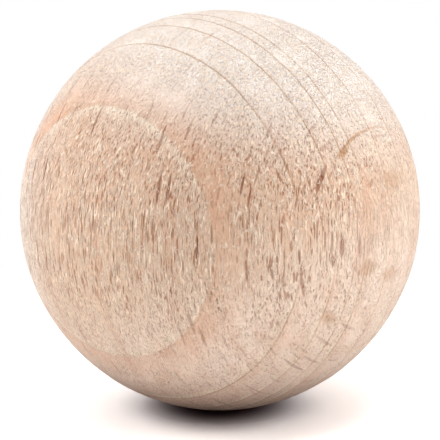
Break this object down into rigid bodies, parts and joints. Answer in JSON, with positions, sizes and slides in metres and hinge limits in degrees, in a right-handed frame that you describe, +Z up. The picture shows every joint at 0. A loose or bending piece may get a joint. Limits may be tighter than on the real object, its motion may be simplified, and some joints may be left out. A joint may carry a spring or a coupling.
{
  "type": "wooden ball",
  "caption": "Plain solid wooden ball, turned round and sanded, for crafts, knobs, toys and bench fixtures.",
  "frame": {"origin": "centre of the ball", "axes": "+Z up, along the fibres of the wood to within a few degrees, and the axis the ball was turned on; -Y is the side that faces the main view"},
  "size_m": [0.04, 0.04, 0.04],
  "materials": {
    "beech": "bare sanded beech, matt"
  },
  "bodies": {
    "root": {"ball": "beech"}
  },
  "joints": []
}
